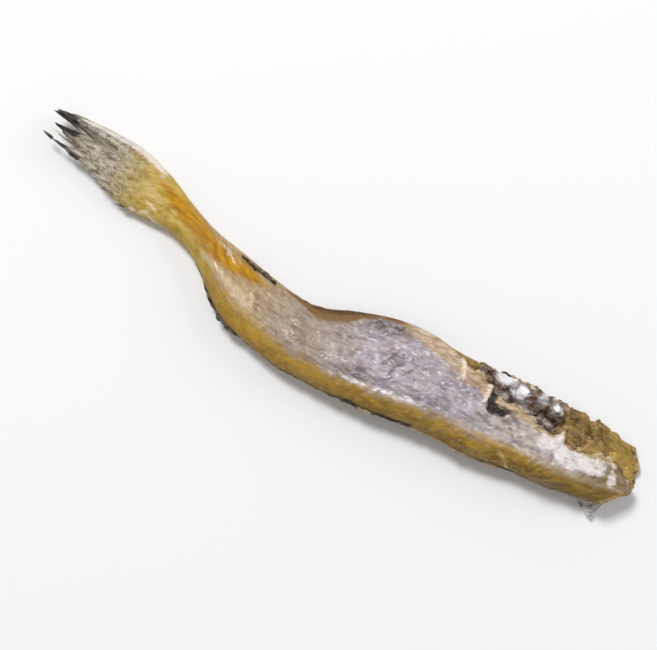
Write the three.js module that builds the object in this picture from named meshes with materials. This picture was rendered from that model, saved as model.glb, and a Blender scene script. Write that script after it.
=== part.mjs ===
// A small gutted, headless dried fish that lies on its right side.
//
// It is one solid: the flesh, the two belly flaps and the tail fin grew as one piece. The fish is
// lofted from cross-sections. Behind the vent a section is a closed teardrop, thickest near the back.
// In front of the vent a groove enters it from the belly edge and widens into the gutted cavity, which
// leaves a thin upper flap and a longer lower flap. At the tail the sections flatten into the fin,
// whose ray bundles end in separate points.
//
// Frame, in millimetres: the origin is the middle of the base, +X runs from the tail tips to the cut
// head end, +Y from the back to the belly, and +Z upwards. The right flank dried on a flat board, so
// the underside lies in the plane z = 0.

import * as THREE from 'three';

// Driving dimensions
const TAIL_X = -69;
const CUT_X = 69;
const STATION_COUNT = 74;
const FLANK_COLUMNS = 16; // columns of vertices on each flank, from the back to the belly rim
const WALL_ROWS = 4; // rows of vertices on each wall of the cavity

// How a flank bulges: shares of the section's height (from the back) or of its thickness
const COLUMN_CROWDING = 1.25; // above 1, the columns crowd towards the back
const BACK_EDGE_LEVEL = 0.42; // height of the back edge
const CREST_AT = 0.34; // where the flank is highest
const HEEL_AT = 0.2; // where the underside reaches the board
const BELLY_FALL = 1.7; // how late the flank falls towards the belly
const CAVITY_END_LEVEL = 0.46; // height of the cavity's inner end

const FLAP_THICKNESS = 1.2;
const FLAP_SHARE = 0.3; // the most of the rim's height that each flap may take
const LOWER_RIM_CURL = 0.7; // how far the lower flap's rim curls off the board
const CURL_FROM = 0.8; // where across the lower flap the curl starts

// The cut through the shoulder is slightly rounded: its furthest point is part of the way up
const CUT_CENTRE_Y = 5.5;
const CUT_ROUNDING = 0.1;
const CUT_STARTS_X = 47;

const FIN_BASE_X = -45;
const FIN_RAYS = 8;
const FIN_RIPPLE = 0.14;

// The torn rims wander by these amplitudes over these wavelengths
const TEAR_WAVES = [
  { amplitude: 0.45, wavelength: 9.1, phase: 0.6 },
  { amplitude: 0.3, wavelength: 5.3, phase: 2.1 },
];
const TEAR_STARTS_X = 26;
const TEAR_FULL_X = 34;

// Outline stations along the fish: the back edge, the rims of the upper (left) and lower (right)
// flank, the thickness of the flesh, the height of the upper rim, the depth of the cavity behind it
// (negative where the belly edge is whole and rounded), and the lift of the underside off the board.
const OUTLINE = [
  { x: -69, back: 1.8, upperRim: 8.6, lowerRim: 8.6, thickness: 0.6, rimTop: 0.4, depth: -0.1, lift: 3.2 },
  { x: -58, back: -0.2, upperRim: 10.1, lowerRim: 10.1, thickness: 0.9, rimTop: 0.5, depth: -0.1, lift: 2.3 },
  { x: -49, back: -1.8, upperRim: 9.9, lowerRim: 9.9, thickness: 1.5, rimTop: 0.6, depth: -0.2, lift: 1.5 },
  { x: -43, back: -1.4, upperRim: 8.1, lowerRim: 8.1, thickness: 2.8, rimTop: 1.0, depth: -0.4, lift: 0.9 },
  { x: -36, back: -1.1, upperRim: 5.3, lowerRim: 5.3, thickness: 4.3, rimTop: 1.8, depth: -0.6, lift: 0.4 },
  { x: -30, back: -2.9, upperRim: 3.8, lowerRim: 3.8, thickness: 5.0, rimTop: 2.0, depth: -0.6, lift: 0.15 },
  { x: -22, back: -8.7, upperRim: 2.7, lowerRim: 2.7, thickness: 6.0, rimTop: 2.0, depth: -0.6, lift: 0 },
  { x: -14, back: -11.6, upperRim: 1.7, lowerRim: 1.7, thickness: 7.2, rimTop: 2.2, depth: -0.5, lift: 0 },
  { x: -4, back: -12.6, upperRim: 1.9, lowerRim: 1.9, thickness: 8.3, rimTop: 2.4, depth: 0.4, lift: 0 },
  { x: 4, back: -12.4, upperRim: 5.6, lowerRim: 5.6, thickness: 8.8, rimTop: 2.7, depth: 3.5, lift: 0 },
  { x: 12, back: -11.2, upperRim: 8.5, lowerRim: 8.4, thickness: 9.1, rimTop: 3.0, depth: 6.5, lift: 0 },
  { x: 22, back: -9.1, upperRim: 9.4, lowerRim: 9.2, thickness: 9.2, rimTop: 3.6, depth: 8.5, lift: 0 },
  { x: 30, back: -8.1, upperRim: 7.4, lowerRim: 9.6, thickness: 9.1, rimTop: 4.9, depth: 8.0, lift: 0 },
  { x: 37, back: -7.4, upperRim: 5.8, lowerRim: 10.9, thickness: 8.9, rimTop: 5.7, depth: 7.5, lift: 0 },
  { x: 46, back: -5.9, upperRim: 5.8, lowerRim: 11.6, thickness: 8.5, rimTop: 5.6, depth: 7.2, lift: 0 },
  { x: 55, back: -5.0, upperRim: 5.1, lowerRim: 12.2, thickness: 8.0, rimTop: 5.2, depth: 6.4, lift: 0 },
  { x: 63, back: -4.0, upperRim: 5.2, lowerRim: 12.0, thickness: 7.3, rimTop: 4.9, depth: 5.8, lift: 0 },
  { x: 69, back: -2.6, upperRim: 4.6, lowerRim: 11.2, thickness: 6.4, rimTop: 4.6, depth: 4.6, lift: 0 },
];

// Where the fin ends, from the back edge (column 0) to the belly edge: points and notches in turn
const FIN_END = [
  { column: 0, x: -60 },
  { column: 1, x: -64 },
  { column: 2, x: -62.5 },
  { column: 3, x: -69 },
  { column: 5, x: -61 },
  { column: 6, x: -65.5 },
  { column: 7, x: -64 },
  { column: 9, x: -67.8 },
  { column: 11, x: -61.5 },
  { column: 13, x: -69 },
  { column: 16, x: -65 },
];

const { clamp, lerp, smoothstep } = THREE.MathUtils;
const SECTION_SIZE = 2 * FLANK_COLUMNS + 2 * WALL_ROWS + 3;

// Height of a quarter circle that rises steeply from 0 at t = 0 and levels out at 1 at t = 1
function quarterRound(t) {
  return Math.sqrt(1 - (1 - t) ** 2);
}

function makeOutlineReader() {
  const fields = Object.keys(OUTLINE[0]).filter((field) => field !== 'x');
  const positions = OUTLINE.map((station) => station.x);
  const values = OUTLINE.flatMap((station) => fields.map((field) => station[field]));
  const curve = new THREE.CubicInterpolant(positions, values, fields.length);
  return (x) => {
    const sample = curve.evaluate(x);
    const outline = Object.fromEntries(fields.map((field, i) => [field, sample[i]]));
    outline.lift = Math.max(outline.lift, 0);
    return outline;
  };
}

function makeFinEndReader() {
  const columns = FIN_END.map((point) => point.column);
  const curve = new THREE.LinearInterpolant(columns, FIN_END.map((point) => point.x), 1);
  return (column) => curve.evaluate(column)[0];
}

const outlineAt = makeOutlineReader();
const finEndAt = makeFinEndReader();

// How far a torn rim wanders from its outline. The two flaps tore apart, so theirs differ.
function tearAt(x, isUpper) {
  const along = isUpper ? x : -x;
  const wave = ({ amplitude, wavelength, phase }) => {
    return amplitude * Math.sin((2 * Math.PI * along) / wavelength + phase);
  };
  const wander = TEAR_WAVES.reduce((sum, tear) => sum + wave(tear), 0);
  return smoothstep(x, TEAR_STARTS_X, TEAR_FULL_X) * wander;
}

// Height of the upper flank above the underside, at a share of the way from the back to the rim
function upperHeight(outline, share) {
  const backEdge = BACK_EDGE_LEVEL * outline.thickness;
  if (share < CREST_AT) {
    return lerp(backEdge, outline.thickness, quarterRound(share / CREST_AT));
  }
  const fall = ((share - CREST_AT) / (1 - CREST_AT)) ** BELLY_FALL;
  return lerp(outline.thickness, outline.rimTop, fall);
}

function lowerHeight(outline, share) {
  const backEdge = BACK_EDGE_LEVEL * outline.thickness;
  const heel = 1 - quarterRound(clamp(share / HEEL_AT, 0, 1));
  return backEdge * heel;
}

// The lower flap curls only where the belly stands open, so the curl follows the gap between the rims
function rimCurl(outline, share) {
  const gape = clamp((outline.lowerRim - outline.upperRim) / (2 * FLAP_THICKNESS), 0, 1);
  return LOWER_RIM_CURL * gape * smoothstep(share, CURL_FROM, 1) ** 2;
}

function flankPoint(outline, column, isUpper) {
  const share = (column / FLANK_COLUMNS) ** COLUMN_CROWDING;
  const rim = isUpper ? outline.upperRim : outline.lowerRim;
  const height = isUpper ? upperHeight(outline, share) : lowerHeight(outline, share) + rimCurl(outline, share);
  return { y: lerp(outline.back, rim, share), z: height, column };
}

// A point on a wall of the cavity, from the rim (way = 0) to the cavity's inner end (way = 1)
function wallPoint(outline, way, isUpper) {
  const rim = isUpper ? outline.upperRim : outline.lowerRim;
  const endY = outline.upperRim - outline.depth;
  const y = lerp(rim, endY, way);
  const flap = Math.min(FLAP_THICKNESS, FLAP_SHARE * outline.rimTop);
  const shareAt = (at, edge) => clamp((at - outline.back) / (edge - outline.back), 0, 1);
  const endLevel = CAVITY_END_LEVEL * upperHeight(outline, shareAt(endY, outline.upperRim));
  const wall = isUpper
    ? upperHeight(outline, shareAt(y, outline.upperRim)) - flap
    : flap + rimCurl(outline, shareAt(y, outline.lowerRim));
  return { y, z: lerp(wall, endLevel, 1 - quarterRound(1 - way)), column: FLANK_COLUMNS };
}

// One closed section, counterclockwise seen from the head end: the upper flank from the belly rim to
// the back, the lower flank back to its rim, then the two walls of the cavity
function sectionAt(x) {
  const outline = outlineAt(x);
  outline.upperRim += tearAt(x, true);
  outline.lowerRim += tearAt(x, false);
  const points = [];
  for (let column = FLANK_COLUMNS; column > 0; column--) {
    points.push(flankPoint(outline, column, true));
  }
  for (let column = 0; column <= FLANK_COLUMNS; column++) {
    points.push(flankPoint(outline, column, false));
  }
  for (let row = 0; row <= WALL_ROWS; row++) {
    points.push(wallPoint(outline, row / (WALL_ROWS + 1), false));
  }
  for (let row = WALL_ROWS; row >= 0; row--) {
    points.push(wallPoint(outline, row / (WALL_ROWS + 1), true));
  }
  return points.map((point) => placePoint(x, outline, point));
}

// Moves a section's point to its place: the fin's columns end at their own points, the sections near
// the head end lean into the rounded cut, and the underside lifts off the board towards the tail
function placePoint(x, outline, point) {
  const finShare = clamp((FIN_BASE_X - x) / (FIN_BASE_X - TAIL_X), 0, 1);
  const cutShare = clamp((x - CUT_STARTS_X) / (CUT_X - CUT_STARTS_X), 0, 1);
  const finShift = finShare * (finEndAt(point.column) - TAIL_X);
  const cutShift = cutShare * CUT_ROUNDING * (point.y - CUT_CENTRE_Y) ** 2;
  const ripple = finShare * FIN_RIPPLE * Math.cos((2 * Math.PI * FIN_RAYS * point.column) / FLANK_COLUMNS);
  return new THREE.Vector3(x + finShift - cutShift, point.y, outline.lift + point.z + ripple);
}

// Two triangles for each cell between neighbouring sections
function sideTriangles() {
  const indices = [];
  for (let station = 0; station < STATION_COUNT - 1; station++) {
    for (let i = 0; i < SECTION_SIZE; i++) {
      const next = (i + 1) % SECTION_SIZE;
      const a = station * SECTION_SIZE + i;
      const b = station * SECTION_SIZE + next;
      indices.push(a, b, b + SECTION_SIZE);
      indices.push(a, b + SECTION_SIZE, a + SECTION_SIZE);
    }
  }
  return indices;
}

// The fin's end is a ladder of rungs, each from a point of the upper flank to the one below it. The
// first rung is the single point on the back edge.
function finEndTriangles() {
  const indices = [];
  const upperAt = (rung) => (FLANK_COLUMNS - rung + SECTION_SIZE) % SECTION_SIZE;
  const lowerAt = (rung) => FLANK_COLUMNS + rung;
  for (let rung = 0; rung < (SECTION_SIZE - 1) / 2; rung++) {
    indices.push(upperAt(rung), upperAt(rung + 1), lowerAt(rung + 1));
    if (rung > 0) {
      indices.push(upperAt(rung), lowerAt(rung + 1), lowerAt(rung));
    }
  }
  return indices;
}

function cutTriangles(points) {
  const first = (STATION_COUNT - 1) * SECTION_SIZE;
  const contour = points.slice(first).map((point) => new THREE.Vector2(point.y, point.z));
  return THREE.ShapeUtils.triangulateShape(contour, []).flat().map((i) => first + i);
}

// Moves the solid so that the origin is the middle of the base of its box
function centreOnBase(geometry) {
  geometry.computeBoundingBox();
  const { min, max } = geometry.boundingBox;
  geometry.translate(-(min.x + max.x) / 2, -(min.y + max.y) / 2, -min.z);
}

function buildFishGeometry() {
  const points = [];
  for (let station = 0; station < STATION_COUNT; station++) {
    points.push(...sectionAt(lerp(TAIL_X, CUT_X, station / (STATION_COUNT - 1))));
  }
  const geometry = new THREE.BufferGeometry().setFromPoints(points);
  geometry.setIndex([...sideTriangles(), ...finEndTriangles(), ...cutTriangles(points)]);
  centreOnBase(geometry);
  geometry.computeVertexNormals();
  return geometry;
}

const driedFlesh = new THREE.MeshStandardMaterial({ color: 0xb89348, roughness: 0.5, metalness: 0 });

const fish = new THREE.Mesh(buildFishGeometry(), driedFlesh);
fish.name = 'dried_fish';

const model = new THREE.Group();
model.add(fish);

export default model;
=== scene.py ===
"""A small gutted, headless dried fish that lies on its right side, on a plain pale floor.

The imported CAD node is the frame. The fish is lofted again here with the same outline and much finer
sections, and gets what the CAD solid leaves out: wrinkled skin, fin rays, torn rims and membranes.
Lengths are in millimetres until a mesh is made, and the scene is in metres.
"""
import itertools
import math
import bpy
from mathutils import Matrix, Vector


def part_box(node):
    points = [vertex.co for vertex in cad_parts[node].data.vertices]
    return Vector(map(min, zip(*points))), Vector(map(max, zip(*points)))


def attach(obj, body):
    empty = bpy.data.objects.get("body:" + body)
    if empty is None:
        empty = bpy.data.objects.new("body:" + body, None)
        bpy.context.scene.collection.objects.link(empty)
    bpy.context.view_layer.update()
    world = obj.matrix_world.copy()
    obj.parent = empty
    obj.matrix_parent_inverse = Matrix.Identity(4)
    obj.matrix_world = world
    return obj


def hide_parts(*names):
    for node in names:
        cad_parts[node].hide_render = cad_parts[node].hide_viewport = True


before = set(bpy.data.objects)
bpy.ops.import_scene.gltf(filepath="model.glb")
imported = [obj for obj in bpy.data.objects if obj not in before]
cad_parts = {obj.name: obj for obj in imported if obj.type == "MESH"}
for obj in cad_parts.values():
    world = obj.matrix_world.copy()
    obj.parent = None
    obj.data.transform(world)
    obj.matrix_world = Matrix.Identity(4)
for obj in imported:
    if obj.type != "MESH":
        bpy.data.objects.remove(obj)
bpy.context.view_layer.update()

from types import SimpleNamespace

import bpy
import numpy as np
from mathutils import Vector, geometry

MM = 0.001
NODE = "dried_fish"
BODY = "root"
CAD_LOW, CAD_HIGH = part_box(NODE)
TAIL_X = CAD_LOW.x / MM
CUT_X = CAD_HIGH.x / MM

# How finely the fish is lofted
STATIONS = 620
COLUMNS = 56
WALL_ROWS = 14

# How a flank bulges: lengths, powers, and shares of the section's height or of its thickness
COLUMN_CROWDING = 1.25
BACK_EDGE_LEVEL = 0.42
CREST_AT = 0.34
HEEL_AT = 0.2
BELLY_FALL = 1.7
CAVITY_END_LEVEL = 0.46
FLAP_THICKNESS = 1.1
FLAP_SHARE = 0.3
LOWER_RIM_CURL = 0.7
CURL_FROM = 0.8

CUT_CENTRE_Y = 5.5
CUT_ROUNDING = 0.1
CUT_STARTS_X = 47
CUT_GRID = 0.32
CUT_GRAIN_SHIFT = 90

FIN_BASE_X = -45
FIN_TIP_X = -64
FIN_RAYS = 11
TEAR_STARTS_X = 26
TEAR_FULL_X = 34

# The outline's stations: where along the fish, and there its edges, its thickness, the height of
# the upper rim, the cavity's depth and the lift off the floor
OUTLINE_FIELDS = ("back", "upper_rim", "lower_rim", "thickness", "rim_top", "depth", "lift")
OUTLINE = (
    (-69, 1.8, 9.4, 9.4, 0.6, 0.4, -0.1, 3.2),
    (-58, -0.2, 10.3, 10.3, 0.9, 0.5, -0.1, 2.3),
    (-49, -1.8, 10.1, 10.1, 1.5, 0.6, -0.2, 1.5),
    (-43, -1.4, 8.5, 8.5, 2.8, 1, -0.4, 0.9),
    (-36, -1.1, 5.7, 5.7, 4.3, 1.8, -0.6, 0.4),
    (-30, -2.9, 3.8, 3.8, 5, 2, -0.6, 0.15),
    (-22, -8.7, 2.7, 2.7, 6, 2, -0.6, 0),
    (-14, -11.6, 1.7, 1.7, 7.2, 2.2, -0.5, 0),
    (-4, -12.6, 1.9, 1.9, 8.3, 2.4, 0.4, 0),
    (4, -12.4, 5.6, 5.6, 8.8, 2.7, 3.5, 0),
    (12, -11.2, 8.5, 8.4, 9.1, 3, 6.5, 0),
    (22, -9.1, 9.4, 9.2, 9.2, 3.6, 8.5, 0),
    (30, -8.1, 7.4, 9.6, 9.1, 4.9, 8, 0),
    (37, -7.4, 5.8, 10.9, 8.9, 5.7, 7.5, 0),
    (46, -5.9, 5.4, 11.6, 8.5, 5.6, 7.2, 0),
    (55, -5, 5, 12.2, 8, 5.2, 6.4, 0),
    (62, -4.1, 6.4, 12, 7.3, 4.9, 6.8, 0),
    (69, -2.6, 5, 11.2, 6.4, 4.6, 5, 0),
)
RIM_PEAK_X = 50.8
RIM_PEAK_WIDTH = 0.9
RIM_PEAK_HEIGHT = 1.5

# Where the fin ends, by the share of its columns from the back edge: points and notches in turn
FIN_END = (
    (0, -60), (0.06, -62), (0.12, -60), (0.17, -64.5), (0.27, -60.5), (0.36, -65.8),
    (0.42, -64.6), (0.57, -68), (0.68, -61.5), (0.78, -69), (0.87, -68.4), (1, -64),
)

# Width of the golden back, from the back edge; centre of the orange streak, from the belly rim,
# and how far it spreads to each side
GOLD_BACK = (
    (-69, 0.5), (-48, 1.8), (-40, 2), (-30, 2.2), (-22, 3.4), (-14, 4), (0, 4),
    (15, 4), (26, 4.4), (37, 4.4), (47, 4.6), (58, 4.6), (69, 5),
)
ORANGE_CENTRE = ((-69, 2.4), (-46, 2.4), (-40, 2), (-32, 1.7), (-25, 2.7), (-18, 2.1), (-10, 1.9))
ORANGE_SPREAD = (
    (-69, -3), (-50, -2), (-45, -0.6), (-40, 0.9), (-30, 1.3), (-24, 1.3), (-18, 0.8), (-12, -0.9),
)

# Marks on the skin, painted shade and painted highlights as tapered strokes: from, to, and the radius
# at each end, below 0 where they fade
FIN_INK = (
    ((-69, 7.5), (-65, 7.5), 0.5, 0.7), ((-65, 7.4), (-57, 6.9), 0.5, -0.3),
    ((-67.8, 5.3), (-63, 6), 0.5, 0.75), ((-63, 6.1), (-60, 6.4), 0.5, -0.5),
    ((-66.4, 4.4), (-63, 4.2), 0.3, -0.2), ((-64.6, 2.4), (-60.4, 1.4), 0.3, 0.6),
)
BELLY_FLECK = (((-21.6, 2.5), (-18.6, 2.1), 0, 0.5), ((-18.6, 2.1), (-15, 1.7), 0.5, -0.1))
# The torn hole: its near-black is painted shade inside it, with grey flecks.
HOLE_SHADE = (
    ((35.1, 6.5), (35.6, 3.4), 0.5, 0.8), ((36, 3.3), (38.2, 3.3), 1.1, 0.9),
    ((38.2, 3.6), (39.5, 4.6), 0.8, 0.35),
)
SMUDGES = (
    ((-67, 8.2), (-55, 7.3), 0.9, 0), ((-66, 4.6), (-59.5, 3.6), 0.7, 0.1),
    ((-61, 6.9), (-52, 7), 0.4, -0.2), ((-58, 0), (-50.5, -1.5), 0.3, 0.35),
    ((39.8, 4.4), (42.6, 3), 0.5, 0.2),
)
DASHES = (
    ((14.5, 2.6), (13.3, -0.5), 0.1, 0.2), ((17.8, 2.9), (17.9, 2.6), 0.25, 0.2),
    ((19.4, 2.8), (18.3, 0.3), 0, 0.15), ((17, 2), (15.8, 0.4), 0, 0.15),
    ((21, 3), (20.3, 1.7), 0.1, 0), ((15.3, -0.3), (15.4, -0.7), 0.2, 0.1),
    ((24.6, 1.7), (26.2, 1.3), 0.2, 0.1),
)
PALE_STROKES = (
    ((-61.2, 5.5), (-57.8, 5.5), -0.1, 0.1), ((-46.9, -1.5), (-43.5, -0.5), 0, 0.1),
    ((-43, -0.3), (-39.8, -1.1), 0.1, 0), ((-43.4, 1.7), (-40.8, 1), -0.1, -0.05),
    ((-26.8, 2.7), (-23.6, 2), -0.1, 0), ((-24.4, 1.6), (-21.2, 0.9), 0, 0.05),
    ((25.4, 9.6), (27.4, 7.4), 0.4, 0.35), ((27.4, 7.4), (28.7, 4.2), 0.35, 0),
    ((33.9, 6.4), (34.1, 3.6), 0.3, 0.3), ((41.4, -3.2), (43.2, -4.1), -0.2, -0.1),
    ((43.2, -4.1), (45, -5.4), -0.1, -0.25), ((50.5, 7), (51.6, 5.4), 0.3, 0.3),
)
# Painted highlights, drawn as strokes: the sheen along the tail's stem and the glints at the cut end.
STEM_GLEAM = (((-28.5, -1.2), (-16.5, -4.9), -0.2, 0.5),)
END_GLEAM = (((62.8, 6.2), (64.2, 3.2), -0.1, 0.6), ((66.9, 5.4), (68.4, 3.2), -0.2, 0.2))

# Marks, painted shadows and painted highlights by where they fade in and out: starts, full, still
# full, gone
SOOT_ALONG = (4, 8, 13, 17)
SOOT_FROM_RIM = (0.4, 1.1, 2.4, 4.2)
BELLY_EDGE_ALONG = (-14, -6, 11, 18)
BELLY_EDGE_WIDTH = ((-14, 0.6), (-6, 1.4), (-1, 4), (2, 4), (6, 1.5), (12, 1), (18, 0.7))
TAN_END_ALONG = (54, 63)
OPEN_RIM_ALONG = (10, 15, 60, 66)
OPEN_RIM_WIDTH = ((10, 1.6), (16, 3.2), (25, 4), (32, 3.2), (40, 2.6), (47, 1.4), (66, 1.2))
# The dark back edge is partly the fish's own darker back and partly painted shadow under it. The
# darker stretch at x 7 to 27 is painted shadow of the gap under the back.
BACK_LINE_ALONG = (-30, -18, 26, 52)
GAP_SHADOW_ALONG = (7, 10, 23, 27)
# Painted highlights along the silver's border and on the bright patch by the open rim.
GLEAM_ALONG = (0, 6, 21, 26)
GLEAM_FROM_GOLD = (0.1, 0.7, 1.1, 2)
WHITE_ALONG = (45, 49, 60, 64)
WHITE_FROM_RIM = (0.2, 0.9, 3.2, 5)

# Where the tail fin's look, the lining's look and the torn cut begin and end
FIN_SKIN_ALONG = (-55, -43)
FIN_TIP_ALONG = (-68, -60)
FIN_EDGE_ALONG = (-67, -61, -46, -41)
MEMBRANE_ALONG = (29, 33, 47, 51)
STEM_RIDGE_ALONG = (-46, -38, -24, -12)
STEM_TURN = -8
RAW_CUT_ALONG = (CUT_X - 1.2, CUT_X - 0.4)
FAR_OFF = 9

# The fringes left of the back fin and the belly fin: width along the edge, and how dark
BACK_FRINGE = (
    (-32, 0), (-27, 0.3), (-22, 0.95), (-18, 0.75), (-14, 0.25), (0, 0.12), (9, 0.3), (14, 0.55),
    (17, 0.35), (22, 0.3), (26, 0.5), (31, 0.35), (36, 0.5), (41, 0.45), (48, 0.1), (55, 0),
)
# How dark the back fringe is: dark dried membrane, and at x 9 to 23 also painted shadow of the gap
# under the back.
BACK_FRINGE_DARK_AND_SHADOW = (
    (-32, 0.6), (-24, 0.6), (-22.5, 1), (-17, 1), (-15, 0.6), (5, 0.6), (9, 1), (13, 0.6), (15, 0.1),
    (17, 0.9), (23, 1), (25, 0), (40, 0.2), (46, 0.6), (55, 0.6),
)
FRINGE_LEAN = (0.3, -1, -0.25)
BELLY_FRINGE_ENDS = (-28, -8)
BELLY_FRINGE_WIDTH = 0.9
BELLY_FRINGE_DARK_ALONG = (-23, -21, -15, -12)

# Loose rays of the tail fin: root, tip, radius and how dark, and fine hairs
LOOSE_RAYS = (
    ((-60, 1.6), (-64.4, 2.2), 0.4, 0.9), ((-63.4, 2.4), (-67, 2.5), 0.32, 1),
    ((-66.6, 2.5), (-69, 2.9), 0.36, 1), ((-63, 4), (-68.2, 4.2), 0.14, 0.3),
    ((-62, 8.6), (-67.6, 8.2), 0.16, 0.5),
)
HAIRS = 16
HAIRS_ALONG = (-61, -46)
STRAND_STEPS = 24
STRAND_SIDES = 6
STRAND_FLATNESS = 0.6
STRAND_WANDER = 0.12

# Torn skin: shreds round the cut and on the belly's rims, and the flap that hangs below the cut, by
# the ends of its root line and by its drop at shares of it
CUT_SHREDS = 34
SHRED_POINTS = 8
RIM_SHREDS = 60
RIM_SHREDS_ALONG = (29, 65)
UPPER_RIM_SHARE = 0.45
FLAP_ROOT = ((60.2, -2.4, 1.6), (66, 0.8, 2.2))
FLAP_DROP = ((0, 0.6), (0.75, 5.4), (1, 1.5))

# Thin dried skin: its pale and its dark tone, and how much of the dark shows
MEMBRANES = {
    "back_fin_remnant": ((152, 126, 88), (30, 23, 16), 0.02),
    "belly_fin_remnant": ((190, 156, 104), (48, 32, 16), 0.05),
    "tail_fin_strands": ((204, 192, 172), (34, 30, 26), 0.04),
    "cut_end_shreds": ((172, 146, 100), (104, 80, 42), 0.06),
    "hanging_skin_flap": ((204, 202, 206), (92, 80, 66), 0.24),
    "belly_rim_shreds": ((206, 186, 150), (110, 84, 46), 0.08),
}

# The belly's lining, and its lumps: x, y, width and height
LINING_ENDS = (30.5, 49.8)
LINING_NARROWS = (47.5, 50)
LINING_LUMPS = (
    (35.6, 9.8, 2.3, 1.9), (40.4, 9, 1.9, 2), (44.3, 10.2, 1.4, 1.5), (47.8, 9.4, 1.7, 1.8),
)

# The skin's UV layout: two strips of skin, and the two ends above them
BAKE_MARGIN = 0.01
STRIP_HEIGHT = 0.44
FRONT_STRIP_V = 0.46
END_V = 0.93
END_SCALE = (0.01, 0.006)
TAIL_END_U = 0.4
END_MIDDLE_Y = 15

# The stage. The picture's own right and up are turned against the fish's length
CAMERA_TURN = math.radians(31.9)
IMAGE_RIGHT = Vector((math.cos(CAMERA_TURN), math.sin(CAMERA_TURN), 0))
IMAGE_UP = Vector((-math.sin(CAMERA_TURN), math.cos(CAMERA_TURN), 0))
LENS = 85
VIEW_WIDTH = 129
HORIZON_LIGHT = 0.85
OVERHEAD_LIGHT = 0.34
FLOOR_RADIUS = 1200
GLOW_STARTS = 300
FLOOR_GLOW = 0.3

rng = np.random.default_rng(11)
GRADIENTS = rng.normal(size=(256, 3))
GRADIENTS /= np.linalg.norm(GRADIENTS, axis=1)[:, None]
SHUFFLE = rng.permutation(256)


# ---- numbers

def lerp(a, b, t):
    return a + (b - a) * t


def ease(x, low, high):
    """0 below low, 1 above high and a smooth step between."""
    t = np.clip((x - low) / (high - low), 0, 1)
    return t * t * (3 - 2 * t)


def band(x, starts, full, still_full, gone):
    """0 outside, 1 in the middle, with soft ends."""
    return ease(x, starts, full) * (1 - ease(x, still_full, gone))


def hump(x, centre, width):
    """A bell curve of height 1."""
    return np.exp(-((x - centre) / width) ** 2)


def smooth_curve(points, x):
    """A smooth curve through listed points, as in the CAD part."""
    at, value = np.array(points, float).T
    slope = np.gradient(value, at)
    i = np.clip(np.searchsorted(at, x) - 1, 0, len(at) - 2)
    width = at[i + 1] - at[i]
    t = np.clip((x - at[i]) / width, 0, 1)
    rise = value[i] * (1 + 2 * t) * (1 - t) ** 2 + value[i + 1] * t * t * (3 - 2 * t)
    return rise + width * t * (1 - t) * (slope[i] * (1 - t) - slope[i + 1] * t)


def perlin(points):
    """Gradient noise, about -1 to 1, at each of an array of points."""
    cell = np.floor(points).astype(int)
    inside = points - cell
    fade = inside ** 3 * (inside * (inside * 6 - 15) + 10)
    total = 0
    for corner in itertools.product((0, 1), repeat=3):
        x, y, z = np.moveaxis(cell + corner, -1, 0)
        pick = SHUFFLE[(SHUFFLE[(SHUFFLE[x % 256] + y) % 256] + z) % 256]
        weight = np.where(corner, fade, 1 - fade).prod(-1)
        total = total + weight * (GRADIENTS[pick] * (inside - corner)).sum(-1)
    return total * 1.6


def layered(points, wavelength, octaves=3):
    """Noise of a wavelength in millimetres, with finer and weaker layers added."""
    return sum(perlin(points * 2 ** i / wavelength + 9.7 * i) / 2 ** i for i in range(octaves))


def along_line(x):
    """Points for noise that varies along the fish only."""
    return np.stack([x, np.zeros_like(x), np.zeros_like(x)], -1)


def stroke_distance(x, y, strokes):
    """Distance to the nearest of some round-ended strokes, less its radius there."""
    nearest = np.full(np.shape(x), 99.0)
    for (x0, y0), (x1, y1), r0, r1 in strokes:
        dx, dy = x1 - x0, y1 - y0
        t = np.clip(((x - x0) * dx + (y - y0) * dy) / (dx * dx + dy * dy), 0, 1)
        nearest = np.minimum(nearest, np.hypot(x - x0 - t * dx, y - y0 - t * dy) - lerp(r0, r1, t))
    return nearest


def near(x, y, strokes, reach):
    """1 on the strokes, and 0 beyond their reach."""
    return 1 - ease(stroke_distance(x, y, strokes), -0.2, reach)


# ---- the lofted shape

def quarter_round(t):
    return np.sqrt(1 - (1 - t) ** 2)


def smooth_outline(x):
    """The outline's fields at each x."""
    table = np.array(OUTLINE, float)
    fields = {field: smooth_curve(table[:, (0, i)], x) for i, field in enumerate(OUTLINE_FIELDS, 1)}
    return SimpleNamespace(**fields)


def torn_outline(x):
    """The outline's fields at each x, as columns, with the rims torn where the belly is open."""
    outline = smooth_outline(x[:, None])
    line = along_line(x)
    torn = ease(x, TEAR_STARTS_X, TEAR_FULL_X)[:, None]
    peak = RIM_PEAK_HEIGHT * hump(x, RIM_PEAK_X, RIM_PEAK_WIDTH)[:, None]
    outline.upper_rim += torn * torn_edge(line) + peak
    outline.lower_rim += torn * torn_edge(line + 31.3)
    outline.rim_top += torn * 0.35 * layered(line + 7.1, 6)[:, None]
    outline.lift = np.maximum(outline.lift, 0)
    return outline


def torn_edge(line):
    """How far a torn rim strays: slow waves, small teeth and a few deeper nicks."""
    waves = 0.45 * layered(line, 5, 2)
    teeth = 0.3 * layered(line, 1.3, 2)
    nicks = -0.5 * ease(layered(line + 3.3, 2.2, 1), 0.35, 0.6)
    return (waves + teeth + nicks)[:, None]


def upper_height(outline, share):
    back_edge = BACK_EDGE_LEVEL * outline.thickness
    rise = lerp(back_edge, outline.thickness, quarter_round(np.minimum(share / CREST_AT, 1)))
    fall = np.clip((share - CREST_AT) / (1 - CREST_AT), 0, 1) ** BELLY_FALL
    return np.where(share < CREST_AT, rise, lerp(outline.thickness, outline.rim_top, fall))


def lower_height(outline, share):
    back_edge = BACK_EDGE_LEVEL * outline.thickness
    heel = 1 - quarter_round(np.clip(share / HEEL_AT, 0, 1))
    return back_edge * heel + rim_curl(outline, share)


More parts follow.
